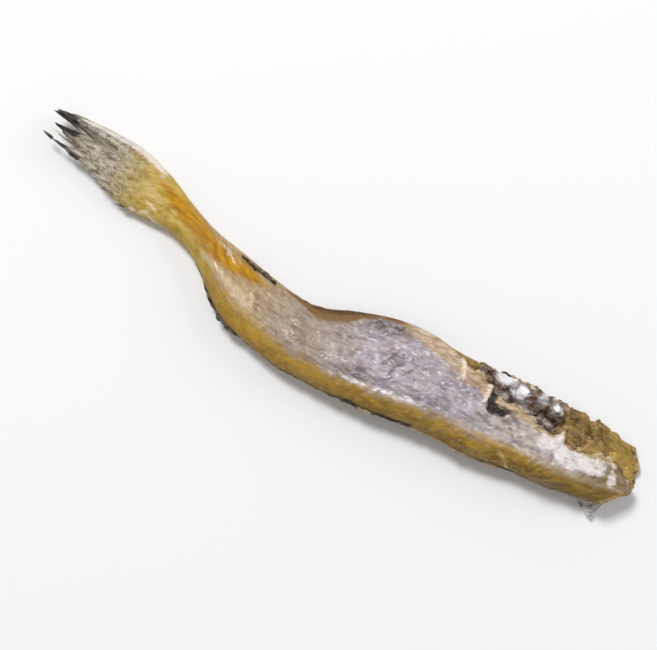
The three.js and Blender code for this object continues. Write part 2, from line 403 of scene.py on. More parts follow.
def rim_curl(outline, share):
    gape = np.clip((outline.lower_rim - outline.upper_rim) / (2 * FLAP_THICKNESS), 0, 1)
    return LOWER_RIM_CURL * gape * ease(share, CURL_FROM, 1) ** 2


def flank(outline, columns, is_upper):
    """A flank's points at every station, as arrays of y and z."""
    share = (columns / COLUMNS) ** COLUMN_CROWDING
    rim = outline.upper_rim if is_upper else outline.lower_rim
    height = upper_height(outline, share) if is_upper else lower_height(outline, share)
    return lerp(outline.back, rim, share), height


def cavity_wall(outline, ways, is_upper):
    """A cavity wall's points, from the rim (way 0) to the cavity's inner end (way 1)."""
    end_y = outline.upper_rim - outline.depth
    rim = outline.upper_rim if is_upper else outline.lower_rim
    y = lerp(rim, end_y, ways)
    flap = np.minimum(FLAP_THICKNESS, FLAP_SHARE * outline.rim_top)

    def share_at(at, edge):
        return np.clip((at - outline.back) / (edge - outline.back), 0, 1)

    end_level = CAVITY_END_LEVEL * upper_height(outline, share_at(end_y, outline.upper_rim))
    if is_upper:
        wall = upper_height(outline, share_at(y, outline.upper_rim)) - flap
    else:
        wall = flap + rim_curl(outline, share_at(y, outline.lower_rim))
    return y, lerp(wall, end_level, 1 - quarter_round(1 - ways))


def fin_end_at(columns):
    """Where each fin column ends: the ray bundles, and finer frays on them."""
    share = columns / COLUMNS
    at, reach = np.array(FIN_END, float).T
    return np.interp(share, at, reach) + 1.2 * layered(along_line(share * 40), 1.9, 2)


class Loft:
    """The fish's sections as grids: one row a station, one column a point of the section.

    Besides the points it keeps what the wrinkles and the colours need: where along the fish a point
    is, how far it is from the back edge and from the belly rim, and which sheet it is on.
    """

    def __init__(self):
        stations = np.linspace(TAIL_X, CUT_X, STATIONS)
        outline = torn_outline(stations)
        down = np.arange(COLUMNS, 0, -1)
        up = np.arange(COLUMNS + 1)
        inward = np.arange(WALL_ROWS + 1) / (WALL_ROWS + 1)
        parts = (
            flank(outline, down, True),
            flank(outline, up, False),
            cavity_wall(outline, inward, False),
            cavity_wall(outline, inward[::-1], True),
        )
        self.y, self.z = (np.hstack(sides) for sides in zip(*parts))
        self.along = np.repeat(stations[:, None], self.y.shape[1], 1)
        rims = np.full(WALL_ROWS + 1, COLUMNS)
        self.column = np.concatenate([down, up, rims, rims])
        order = np.arange(len(self.column))
        self.on_upper = order < COLUMNS
        self.on_wall = order > 2 * COLUMNS
        self.on_lower = ~self.on_upper & ~self.on_wall
        self.way = np.concatenate([down * 0, up * 0, inward, inward[::-1]])
        rim = np.where(self.on_upper, outline.upper_rim, outline.lower_rim)
        self.height = rim - outline.back
        self.from_back = self.y - outline.back
        self.from_rim = rim - self.y
        self.outline = outline
        self.points = self.relieved(self.place())

    def pattern(self):
        """Coordinates in which noise follows the skin: along, across and up, apart on the walls."""
        across = np.where(self.on_lower, -self.from_back, self.from_back)
        return np.stack([self.along, across, self.z + np.where(self.on_wall, 40.0, 0.0)], -1)

    def place(self):
        """The smooth points, with the fin's frayed end and the slanted cut."""
        fin = np.clip((FIN_BASE_X - self.along) / (FIN_BASE_X - TAIL_X), 0, 1)
        cut = np.clip((self.along - CUT_STARTS_X) / (CUT_X - CUT_STARTS_X), 0, 1)
        ragged = 0.7 * layered(np.stack([self.y, self.z, self.z * 0], -1), 2.5)
        cut_shift = cut * CUT_ROUNDING * (self.y - CUT_CENTRE_Y) ** 2 + cut ** 6 * ragged
        fin_shift = fin * (fin_end_at(self.column) - TAIL_X)
        x = self.along + fin_shift - cut_shift
        return np.stack([x, self.y, self.z + self.outline.lift], -1)

    def relieved(self, smooth):
        """The points with wrinkles, lumps, marks and fin rays, kept off the floor."""
        x, y = smooth[..., 0], smooth[..., 1]
        relief = np.where(self.on_wall, wall_relief(self), skin_relief(self))
        relief = relief + np.where(self.on_upper, mark_relief(x, y), 0)
        points = smooth + surface_normals(smooth) * relief[..., None]
        fin = ease(-self.along, -FIN_BASE_X, -FIN_TIP_X)
        rays = np.cos(2 * math.pi * FIN_RAYS * (self.column / COLUMNS) ** 1.1)
        sag = 0.5 * layered(self.pattern() * (1, 1, 0), 9, 2)
        points[..., 2] = np.maximum(points[..., 2] + fin * (0.11 * rays + sag), 0.02)
        return points

    def row_at(self, x):
        return np.searchsorted(self.along[:, 0], x)

    def top_height(self, x, y):
        """The height of the upper skin nearest to a place seen from above."""
        skin = self.points[:, self.on_upper]
        nearest = np.argmin(np.hypot(skin[..., 0] - x, skin[..., 1] - y))
        return skin.reshape(-1, 3)[nearest, 2]


def surface_normals(points):
    along = np.gradient(points, axis=0)
    around = np.roll(points, -1, 1) - np.roll(points, 1, 1)
    normal = np.cross(around, along)
    return normal / np.maximum(np.linalg.norm(normal, axis=-1, keepdims=True), 1e-9)


def skin_relief(loft):
    """Height of the wrinkles above the smooth skin, in millimetres."""
    p = loft.pattern()
    flesh = ease(loft.outline.thickness, 1.5, 5)
    dents = 0.4 * layered(p, 13, 2)
    hollows = 0.3 * layered(p * (0.6, 1, 1) + 23, 4.5, 2)
    fibres = 0.1 * layered(p * (0.25, 1, 1), 1.5, 2)
    pleats = 0.17 * (0.5 - np.abs(layered(p * (0.5, 1, 1) + 17, 2.8, 2)))
    chevron = loft.along + 0.6 * np.abs(loft.from_back - 0.45 * loft.height)
    segments = 0.045 * np.sin(2 * math.pi * chevron / 2.1) * ease(layered(p + 5, 9, 1), -0.3, 0.5)
    gold_edge = loft.from_back - smooth_curve(GOLD_BACK, loft.along)
    crease = -0.25 * hump(gold_edge, 1.4, 0.7) * ease(loft.along, 0, 30)
    ridge = 0.25 * hump(gold_edge, -0.1, 0.8) * ease(loft.along, -20, 20)
    middle = hump(loft.from_back / loft.height, 0.5, 0.12)
    stem = 0.35 * middle * band(loft.along, *STEM_RIDGE_ALONG)
    return flesh * (dents + hollows + fibres + pleats + segments + crease + ridge + stem)


def mark_relief(x, y):
    """The pale folds stand up, and the torn hole is sunk."""
    folds = 0.4 * near(x, y, PALE_STROKES, 0.6) * (x > TEAR_STARTS_X)
    return folds - 0.6 * near(x, y, HOLE_SHADE, 0.35)


def wall_relief(loft):
    """Lumps of dried tissue, ribs and the bumps of the backbone on the cavity's walls."""
    p = loft.pattern()
    opened = ease(loft.outline.depth, 1.5, 6)
    inside = np.sin(math.pi * np.clip(loft.way, 0, 1)) ** 0.6
    lumps = 0.7 * np.abs(layered(p, 3.6, 3)) + 0.2 * layered(p, 1.1, 2)
    ribs = 0.13 * np.sin(2 * math.pi * (loft.along + 0.5 * loft.from_back) / 2.3) ** 3
    return opened * inside * (lumps + ribs)


# ---- meshes

def tube_faces(rows, columns):
    """Quads of a tube of rows, each closed round its columns."""
    row, column = np.meshgrid(np.arange(rows - 1), np.arange(columns), indexing="ij")
    a = row * columns + column
    b = row * columns + (column + 1) % columns
    return np.stack([a, b, b + columns, a + columns], -1).reshape(-1, 4).tolist()


def fin_end_faces(size):
    """Closes the fin's end with rungs between its upper and its lower skin."""
    upper = (COLUMNS - np.arange((size + 1) // 2)) % size
    lower = COLUMNS + np.arange((size + 1) // 2)
    rungs = range(1, len(upper) - 1)
    quads = [(upper[i], upper[i + 1], lower[i + 1], lower[i]) for i in rungs]
    return [(upper[0], upper[1], lower[1]), *quads]


def cut_face_fill(ring, first):
    """Fills the cut end with triangles fine enough for ragged flesh. Returns new points and faces."""
    edge = [Vector(point[1:]) for point in ring]
    ways = [np.arange(side.min(), side.max(), CUT_GRID) for side in ring[:, 1:].T]
    grid = map(Vector, itertools.product(*ways))
    inner = [p for p in grid if min((p - q).length for q in edge) > 0.7 * CUT_GRID]
    loop = [(i, (i + 1) % len(edge)) for i in range(len(edge))]
    flat, _, triangles, came_from, _, _ = geometry.delaunay_2d_cdt(edge + inner, loop, [], 1, 1e-6)
    used = sorted({i for triangle in triangles for i in triangle})
    places, number = [], {}
    for i in used:
        source = came_from[i][0]
        if source < len(edge):
            number[i] = first + source
            continue
        y, z = flat[i]
        number[i] = first + len(ring) + len(places)
        reach = CUT_X - CUT_ROUNDING * (y - CUT_CENTRE_Y) ** 2
        rough = perlin(np.array([y, z, 0.0]) / 1.4) * 0.45 + perlin(np.array([y, z, 3.0]) / 0.6) * 0.2
        places.append((reach - 0.5 + rough, y, z))
    return np.array(places), [tuple(number[i] for i in triangle) for triangle in triangles]


def add_object(name, data):
    thing = bpy.data.objects.new(name, data)
    bpy.context.collection.objects.link(thing)
    return thing


def mesh_object(name, points, faces, material):
    """A smooth-shaded object from points in millimetres."""
    mesh = bpy.data.meshes.new(name)
    mesh.from_pydata((np.array(points) * MM).tolist(), [], [tuple(map(int, f)) for f in faces])
    mesh.validate()
    mesh.materials.append(material)
    mesh.polygons.foreach_set("use_smooth", [True] * len(mesh.polygons))
    return add_object(name, mesh)


def add_field(piece, name, values):
    """Keeps a number or a vector for each of the mesh's points, for the material to read."""
    kind, slot = ("FLOAT_VECTOR", "vector") if values.ndim == 2 else ("FLOAT", "value")
    attribute = piece.data.attributes.new(name, kind, "POINT")
    attribute.data.foreach_set(slot, np.ascontiguousarray(values, np.float32).ravel())


def skin_masks(loft):
    """Where each colour lies, as smooth fields that the material's noise makes ragged."""
    x, y = loft.points[..., 0], loft.points[..., 1]
    rim, back = loft.from_rim, loft.from_back
    skin = 1.0 - loft.on_wall
    upper = 1.0 * loft.on_upper
    off_upper = FAR_OFF * (1 - upper)
    gold_edge = back - smooth_curve(GOLD_BACK, x)
    off_orange = np.abs(rim - smooth_curve(ORANGE_CENTRE, x))
    hole = stroke_distance(x, y, HOLE_SHADE) + off_upper
    # Painted highlights: the bright patch by the open rim, the glints along the silver's border and
    # the glints at the cut end.
    white = band(x, *WHITE_ALONG) * band(rim, *WHITE_FROM_RIM) * upper
    gleam = band(x, *GLEAM_ALONG) * band(gold_edge, *GLEAM_FROM_GOLD)
    end_gleam = near(x, y, END_GLEAM, 1.2) * upper
    belly_width = smooth_curve(BELLY_EDGE_WIDTH, x)
    open_width = smooth_curve(OPEN_RIM_WIDTH, x)
    # Dark along the back edge: partly the fish's own dark back, partly painted shadow. The stretch at
    # x 7 to 27 is painted shadow of the gap under the back.
    back_line_and_shadow = 0.75 * band(x, *BACK_LINE_ALONG) * (1 - ease(back, 0, 0.7))
    painted_gap_shadow = band(x, *GAP_SHADOW_ALONG) * (1 - ease(back, 0.3, 1)) * upper
    return {
        "along": loft.along,
        "from_back": back,
        "wall": (1 - skin) * ease(loft.outline.depth, 0.5, 2.5),
        "silver": gold_edge,
        "orange": smooth_curve(ORANGE_SPREAD, x) - off_orange,
        "fin": 1 - ease(x, *FIN_SKIN_ALONG),
        "ink_and_hole_shade": np.minimum(hole, stroke_distance(x, y, FIN_INK + BELLY_FLECK)),
        "smudge": stroke_distance(x, y, SMUDGES) + off_upper,
        "pale": stroke_distance(x, y, PALE_STROKES) + off_upper,
        "cream": band(x, *OPEN_RIM_ALONG) * (1 - ease(rim / open_width, 0.3, 1.2)) * upper,
        "belly_edge": band(x, *BELLY_EDGE_ALONG) * (1 - ease(rim / belly_width, 0, 1.1)) * skin,
        "white": np.maximum(white, np.maximum(gleam * 0.65, end_gleam * 0.8)) * skin,
        "gleam": near(x, y, STEM_GLEAM, 1.8) * upper,
        "dashes": stroke_distance(x, y, DASHES) + off_upper,
        "soot": band(x, *SOOT_ALONG) * band(rim, *SOOT_FROM_RIM) * skin,
        "back_line_and_shadow": np.maximum(back_line_and_shadow, painted_gap_shadow) * skin,
        "fin_edge": band(x, *FIN_EDGE_ALONG) * (1 - ease(rim, 0.2, 1.8)),
        "fin_tip": 1 - ease(x, *FIN_TIP_ALONG),
        "membrane": band(x, *MEMBRANE_ALONG) * (1 - skin),
        "cut": ease(loft.along, *RAW_CUT_ALONG),
    }


def bake_layout(piece, rows, columns):
    """Unrolls the skin into two strips of a UV map, so that no two parts of the skin overlap on it."""
    layer = piece.data.uv_layers.new(name="OFBake")
    half = rows // 2
    for face in piece.data.polygons:
        corners = list(face.vertices)
        around = [corner % columns for corner in corners]
        is_side = len(corners) == 4 and max(corners) - min(corners) >= columns
        over_seam = max(around) - min(around) > 1
        in_front = min(corners) // columns >= half
        for loop, corner in zip(face.loop_indices, corners):
            if is_side:
                row, column = divmod(corner, columns)
                column = columns if over_seam and column == 0 else column
                share = (row - half * in_front) / (rows - half)
                u = BAKE_MARGIN + (1 - 2 * BAKE_MARGIN) * share
                v = BAKE_MARGIN + STRIP_HEIGHT * column / columns + FRONT_STRIP_V * in_front
            else:
                place = piece.data.vertices[corner].co / MM
                u = BAKE_MARGIN + END_SCALE[0] * (place.y + END_MIDDLE_Y) + TAIL_END_U * (place.x < 0)
                v = END_V + END_SCALE[1] * place.z
            layer.data[loop].uv = (u, v)


# ---- shader nodes

def linear(colour):
    """A colour of 0 to 255 per channel as a linear one. A Value stays as it is."""
    if isinstance(colour, Value):
        return colour
    shares = [channel / 255 for channel in colour]
    return (*(c / 12.92 if c <= 0.04045 else ((c + 0.055) / 1.055) ** 2.4 for c in shares), 1)


class Value:
    """A node's output, which can be used like a number."""

    def __init__(self, shader, socket):
        self.shader = shader
        self.socket = socket

    def combine(self, operation, first, second):
        return self.shader.node("ShaderNodeMath", {0: first, 1: second}, operation=operation)

    def __add__(self, other):
        return self.combine("ADD", self, other)

    def __sub__(self, other):
        return self.combine("SUBTRACT", self, other)

    def __mul__(self, other):
        return self.combine("MULTIPLY", self, other)

    def step(self, low, high):
        """0 below low, 1 above high, with a smooth step between."""
        inputs = {"Value": self, "From Min": low, "From Max": high}
        return self.shader.node("ShaderNodeMapRange", inputs, interpolation_type="SMOOTHSTEP")

    def level(self, low, high):
        """low where this is 0 and high where it is 1, between two numbers."""
        return self.shader.node("ShaderNodeMapRange", {"Value": self, "To Min": low, "To Max": high})

    def blend(self, low, high):
        """low where this is 0 and high where it is 1, between two colours."""
        inputs = {"Factor": self, 6: linear(low), 7: linear(high)}
        return self.shader.node("ShaderNodeMix", inputs, output=2, data_type="RGBA")


class Shader:
    """A small language for one material's nodes. Its noise is laid out by the coordinates in place."""

    def __init__(self, owner, surface="Principled BSDF"):
        owner.use_nodes = True
        self.owner = owner
        self.tree = owner.node_tree
        self.surface = self.tree.nodes[surface]
        self.place = None

    def feed(self, socket, value):
        if isinstance(value, Value):
            self.tree.links.new(value.socket, socket)
        else:
            socket.default_value = value

    def set(self, **inputs):
        """Feeds the surface's own sockets, named with underscores for spaces."""
        for name, value in inputs.items():
            self.feed(self.surface.inputs[name.replace("_", " ")], value)

    def node(self, kind, inputs=None, output=0, **settings):
        """Adds a node, feeds its inputs and gives one of its outputs."""
        node = self.tree.nodes.new(kind)
        for key, value in settings.items():
            setattr(node, key, value)
        for key, value in (inputs or {}).items():
            self.feed(node.inputs[key], value)
        return Value(self, node.outputs[output])

    def field(self, name, output="Fac"):
        """One of the mesh's own fields."""
        return self.node("ShaderNodeAttribute", output=output, attribute_name=name)

    def layers(self, colour, *coats):
        """A colour with coats over it, each a mask, a strength and a colour."""
        for mask, strength, coat in coats:
            colour = (mask * strength).blend(colour, coat)
        return colour

    def stretched(self, size, stretch, turn):
        """The place in units of size, longer along the first axis after a turn in degrees."""
        inputs = {"Vector": self.place, "Rotation": (0, 0, math.radians(turn))}
        turned = self.node("ShaderNodeMapping", inputs)
        scale = (1 / (size * stretch), 1 / size, 1 / size)
        return self.node("ShaderNodeMapping", {"Vector": turned, "Scale": scale})

    def noise(self, size, stretch=1, detail=3, turn=0, contrast=None, distortion=0):
        """Noise with features of a size in the units of place, about 0.5, or spread over 0 to 1."""
        place = self.stretched(size, stretch, turn)
        inputs = {"Vector": place, "Scale": 1, "Detail": detail, "Distortion": distortion}
        value = self.node("ShaderNodeTexNoise", inputs)
        return value if contrast is None else value.step(0.5 - contrast, 0.5 + contrast)

    def cells(self, size, stretch=1):
        """Distance to the middle of each of many small cells, 0 to about 0.7."""
        inputs = {"Vector": self.stretched(size, stretch, 0), "Scale": 1.0}
        return self.node("ShaderNodeTexVoronoi", inputs, output="Distance")

    def bump(self, height, distance):
        return self.node("ShaderNodeBump", {"Height": height, "Distance": distance})


def skin_shader(name):
    """A material whose noise follows the skin."""
    s = Shader(bpy.data.materials.new(name))
    s.place = s.field("pattern", "Vector")
    return s


# ---- dried fish colours

def golden_back(s, along):
    """Ochre skin mottled in small cells: straw near the tail, brown-olive towards the cut."""
    patches = s.noise(5, 2, contrast=0.16)
    mottle = s.noise(1.5, 1.5, contrast=0.12)
    fine = s.noise(0.7, 1.4, contrast=0.2)
    scales = s.cells(1, 1.2).step(0.4, 0.1)
    # Painted light: the gold turns lighter towards the silver's border, where the rounded back faces
    # the light.
    painted_crest_light = s.field("from_back").step(1.6, 4.2)
    near_cut = (along + patches * 6).step(48, 68)
    return s.layers(
        along.step(-36, -18).blend((196, 162, 60), (182, 140, 46)),
        (along.step(4, 14), 1, (148, 114, 38)),
        (along.step(40, 52), 1, (126, 97, 40)),
        (patches, 0.4, (112, 78, 16)),
        (mottle, 0.6, (196, 158, 62)),
        (painted_crest_light, 0.4, (200, 164, 76)),
        (scales, 0.3, (210, 174, 70)),
        (fine, 0.22, (98, 68, 18)),
        (near_cut, 0.55, (94, 78, 36)),
    )


def silver_flank(s, along):
    """Cream by the tail, lilac silver in the middle and pearl at the open end, all in flecks, with a
    painted sheen and painted glints over the silver.
    """
    grey_part = along.step(-22, -4)
    lilac_part = along.step(-4, 14)
    pearl_part = along.step(30, 42)
    deep = s.layers(
        grey_part.blend((160, 128, 76), (120, 101, 84)),
        (lilac_part, 1, (128, 116, 120)),
        (pearl_part, 1, (138, 122, 106)),
    )
    bright = s.layers(
        grey_part.blend((208, 184, 146), (192, 178, 166)),
        (lilac_part, 1, (206, 198, 206)),
        (pearl_part, 1, (218, 208, 200)),
    )
    # Painted sheen: broad brighter patches on the silver.
    sheen = s.noise(4, 1.4, detail=4, contrast=0.13)
    clouds = s.noise(2.4, 1.6, detail=4, contrast=0.14)
    hollows = s.noise(1, 2.2, detail=5, contrast=0.18, distortion=0.5)
    fibres = s.noise(0.5, 7, detail=4, contrast=0.15)
    flecks = s.noise(1.3, 1.4, detail=6, contrast=0.12, distortion=0.5)
    lilac = s.noise(2.2, 1.2, detail=4, contrast=0.11)
    # Painted glints: small near-white flecks on the silver.
    painted_glints = s.noise(0.9, 1.6, detail=4, distortion=0.3).step(0.57, 0.7)
    return s.layers(
        deep,
        (clouds, 0.45, (146, 116, 84)),
        (lilac * lilac_part, 0.42, (146, 136, 172)),
        (sheen, 0.35, bright),
        (hollows, lilac_part.level(0.15, 0.4), (104, 86, 80)),
        (fibres, lilac_part.level(0.42, 0.25), bright),
        (flecks, lilac_part.level(0.25, 0.5), bright),
        (painted_glints, lilac_part.level(0.12, 0.6), (240, 236, 242)),
    )


def straw_stem(s):
    """Yellow flesh of the tail's stem with cream fibres."""
    fibres = s.noise(1, 2.6, detail=5, turn=STEM_TURN, contrast=0.15, distortion=0.4)
    threads = s.noise(0.5, 4, turn=STEM_TURN, contrast=0.2)
    clouds = s.noise(2.6, 2, contrast=0.15)
    return s.layers(
        fibres.blend((168, 136, 34), (206, 176, 88)),
        (threads, 0.35, (134, 104, 34)),
        (clouds, 0.35, (206, 180, 104)),
    )


def amber_streak(s):
    """The streak of orange above the yellow flesh of the stem."""
    return s.noise(1, 5, detail=4, contrast=0.2).blend((156, 104, 0), (196, 144, 2))


def tail_fin(s, along, fray):
    """Taupe web, olive towards its base, in fine rays, with dark smudged points."""
    clouds = s.noise(2.4, 1.4, detail=5, contrast=0.14, distortion=0.8)
    rays = s.noise(0.6, 5, contrast=0.15)
    curls = s.noise(1, 1.2, detail=5, contrast=0.1, distortion=1.4)
    pale = s.noise(0.9, 1.3, detail=5, contrast=0.08, distortion=0.6)
    tip = (s.field("fin_tip") + fray).step(0.35, 0.95)
    return s.layers(
        along.step(-60, -46).blend((182, 172, 160), (172, 148, 72)),
        (clouds, 0.6, (112, 98, 60)),
        (rays, 0.35, (212, 203, 184)),
        (curls, 0.7, (84, 70, 46)),
        (pale, 0.5, (216, 206, 190)),
        (tip, 0.7, (70, 60, 50)),
    )


def cavity_flesh(s, along):
    """Brown flesh, and over it near the vent a grey film with painted wet glints and painted shade in
    its dark hollows.
    """
    clouds = s.noise(2.4, 1.3, detail=4, contrast=0.18)
    bits = s.noise(0.8, 1, detail=4, contrast=0.16)
    gold = (along + clouds * 4).step(60, 67)
    flesh = s.layers(
        clouds.blend((98, 70, 24), (154, 122, 62)),
        (gold, 0.6, (184, 152, 62)),
        (bits, 0.45, (188, 164, 116)),
    )
    folds = s.noise(2.2, 1, detail=4, distortion=0.8)
    # Dark brown is painted shade in the film's hollows, and near white is painted glints.
    film = folds.step(0.42, 0.52).blend((72, 52, 30), (150, 134, 126))
    film = folds.step(0.54, 0.62).blend(film, (226, 222, 220))
    return s.field("membrane").blend(flesh, film)


def skin_material():
    """The whole skin: its parts one over the other, then the marks with painted shade and painted
    highlights among them, the gloss and the grain.
    """
    s = skin_shader("dried fish skin")
    along = s.field("along")
    fray = s.noise(0.9, 2.2, detail=5) - 0.5
    wander = s.noise(4, 2, detail=2) - 0.5
    stray = fray * 3.2 + wander * 3.0

    def ragged(name, roughness=1.0):
        return s.field(name) + fray * roughness

    silver = (s.field("silver") + stray).step(-1.3, 1.7)
    stem = (along + stray * 3 + s.field("silver") * 1.2).step(-23, -33)
    amber = ragged("orange", 0.9).step(-1, 0.5)
    # Painted shade: the golden back turns dark brown towards its back edge, where the rounded back
    # faces away from the light, less so on the stem.
    shade = ragged("from_back").step(2.8, 0.2)
    tan_end = (along + stray * 1.2).step(*TAN_END_ALONG)
    colour = s.layers(
        silver.blend(golden_back(s, along), silver_flank(s, along)),
        (stem, 1, straw_stem(s)),
        (amber, 0.95, amber_streak(s)),
        (shade, stem.level(0.34, 0.1), (96, 66, 24)),
        (tan_end * silver, 0.85, (126, 102, 52)),
    )

    torn = s.noise(0.8, 3, detail=5, contrast=0.14, distortion=0.5)
    torn_skin = torn.blend((166, 130, 80), (212, 190, 158))
    glints = s.noise(0.7, 1.7, detail=4) - 0.5
    # Painted highlights: near white on the bright patch by the open rim, along the silver's border and
    # at the cut end.
    white = (ragged("white", 1.8) + glints * 1.2).step(0.25, 1.05)
    grains = s.noise(0.8, 1.2, detail=5, contrast=0.16)
    soot = grains.level(0.3, 1) * s.field("soot")
    colour = s.layers(
        colour,
        (ragged("belly_edge", 0.8).step(0, 0.5), 0.9, (120, 84, 30)),
        (s.field("belly_edge").step(0.75, 1), 0.8, (70, 44, 14)),
        (ragged("cream").step(0.1, 0.95), 0.8, torn_skin),
        (white, 0.85, (234, 228, 228)),
        # Painted highlight: the pale sheen along the tail's stem.
        (ragged("gleam", 1.4).step(0.1, 1.1), 0.42, (222, 204, 174)),
        (ragged("dashes", 1.6).step(0.35, -0.1), 0.6, (82, 74, 84)),
        (soot, 0.9, (82, 70, 56)),
        # Near black along the back edge: the fish's own dark back and painted shadow under it.
        (ragged("back_line_and_shadow", 1.8).step(0.25, 0.95), 0.9, (36, 25, 12)),
    )

    specks = s.noise(0.6, 1.6, detail=4, contrast=0.12)
    colour = s.layers(
        colour,
        (s.field("fin"), 1, tail_fin(s, along, fray)),
        # The tail fin's pale upper rim: partly its own pale edge, partly painted highlight where the
        # rim catches the light.
        (ragged("fin_edge", 1.2).step(0.2, 0.85), 0.8, (238, 232, 224)),
        (s.field("wall"), 1, cavity_flesh(s, along)),
        (ragged("smudge", 1.8).step(0.6, -0.3), 0.6, (76, 66, 62)),
        (ragged("pale", 2.4).step(0.5, -0.35), 0.8, (236, 220, 202)),
        # Near black with grey flecks: the tail fin's dark points and the belly fleck, and painted
        # shade inside the torn hole.
        (ragged("ink_and_hole_shade", 1.8).step(0.3, -0.25), 1, specks.blend((16, 12, 10), (72, 62, 62))),
        (s.field("cut"), 1, (168, 132, 78)),
    )

    shine = s.noise(1.5, 1.6, detail=4, contrast=0.2)
    rough = (white * 0.7).level(shine.level(0.62, 0.36), 0.2)
    rough = s.field("membrane").level(rough, 0.12)
    s.set(Base_Color=colour, Roughness=rough, Metallic=silver * stem.level(1, 0) * shine * 0.35)
    set_flesh_depth(s)

    grain = s.noise(0.45, 1.8, detail=4)
    ripple = s.noise(1.5, 3)
    scales = s.cells(1, 1.2).step(0.6, 0.1)
    s.set(Normal=s.bump(grain * 0.35 + ripple + scales * 0.12, 0.42 * MM))
    return s.owner


def set_flesh_depth(s):
    """Light enters dried flesh about a millimetre, and its red part goes deepest."""
    s.set(
        Subsurface_Weight=0.15,
        Subsurface_Radius=(1, 0.55, 0.2),
        Subsurface_Scale=1.0 * MM,
        Specular_IOR_Level=0.24,
        Coat_Weight=0.06,
        Coat_Roughness=0.25,
    )


def membrane_material(name, pale, dark, darkness):
    """Thin dried skin, in streaks of a pale and a dark tone. Higher darkness shows more dark."""
    s = skin_shader(name)
    streaks = s.noise(0.8, 2.5, detail=5, distortion=0.6)
    threads = s.noise(0.35, 5, contrast=0.15)
    mix = (streaks + s.field("dark") * 0.6).step(0.72 - darkness, 0.84 - darkness)
    colour = s.layers(mix.blend(pale, dark), (threads, 0.16, (232, 222, 206)))
    s.set(Base_Color=colour, Roughness=streaks.level(0.3, 0.6))
    set_flesh_depth(s)
    s.set(Normal=s.bump(streaks + threads * 0.3, 0.25 * MM))
    return s.owner


def lining_material():
    """Wet silvery skin, with painted shade in its dark folds and painted near-white glints."""
    s = skin_shader("belly lining")
    folds = s.noise(2.2, 1.2, detail=5, distortion=0.8) + s.field("dark") * -0.2
    fine = s.noise(0.9, 1.2, detail=4, contrast=0.15)
    # The darkest brown is painted shade in the folds' hollows and by the near rim, and the near-white
    # tone is painted glints.
    colour = s.layers(
        folds.step(0.4, 0.52).blend((58, 38, 18), (140, 118, 104)),
        (folds.step(0.52, 0.6), 1, (196, 188, 192)),
        (fine, 0.3, (106, 82, 58)),
        (folds.step(0.62, 0.7), 1, (240, 240, 242)),
    )
    s.set(Base_Color=colour, Roughness=fine.level(0.08, 0.3), Specular_IOR_Level=0.8)
    s.set(Normal=s.bump(folds + fine * 0.3, 0.6 * MM))
    return s.owner


# ---- pieces

def ride_root(piece):
    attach(piece, BODY)


def make_fish_body(loft):
    points = loft.points
    rows, columns = points.shape[:2]
    inner, cut_faces = cut_face_fill(points[-1], (rows - 1) * columns)
    faces = [*tube_faces(rows, columns), *fin_end_faces(columns), *cut_faces]
    all_points = np.vstack([points.reshape(-1, 3), inner])
    body = mesh_object("fish_body", all_points, faces, skin_material())
    pattern = np.vstack([loft.pattern().reshape(-1, 3), inner + CUT_GRAIN_SHIFT])
    add_field(body, "pattern", pattern)
    on_cut = {"cut": 1, "ink_and_hole_shade": FAR_OFF, "smudge": FAR_OFF, "pale": FAR_OFF, "along": CUT_X}
    for name, field in skin_masks(loft).items():
        filler = np.full(len(inner), on_cut.get(name, 0))
        full_field = np.broadcast_to(field, (rows, columns))
        add_field(body, name, np.concatenate([full_field.ravel(), filler]))
    bake_layout(body, rows, columns)
    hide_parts(NODE)
    ride_root(body)


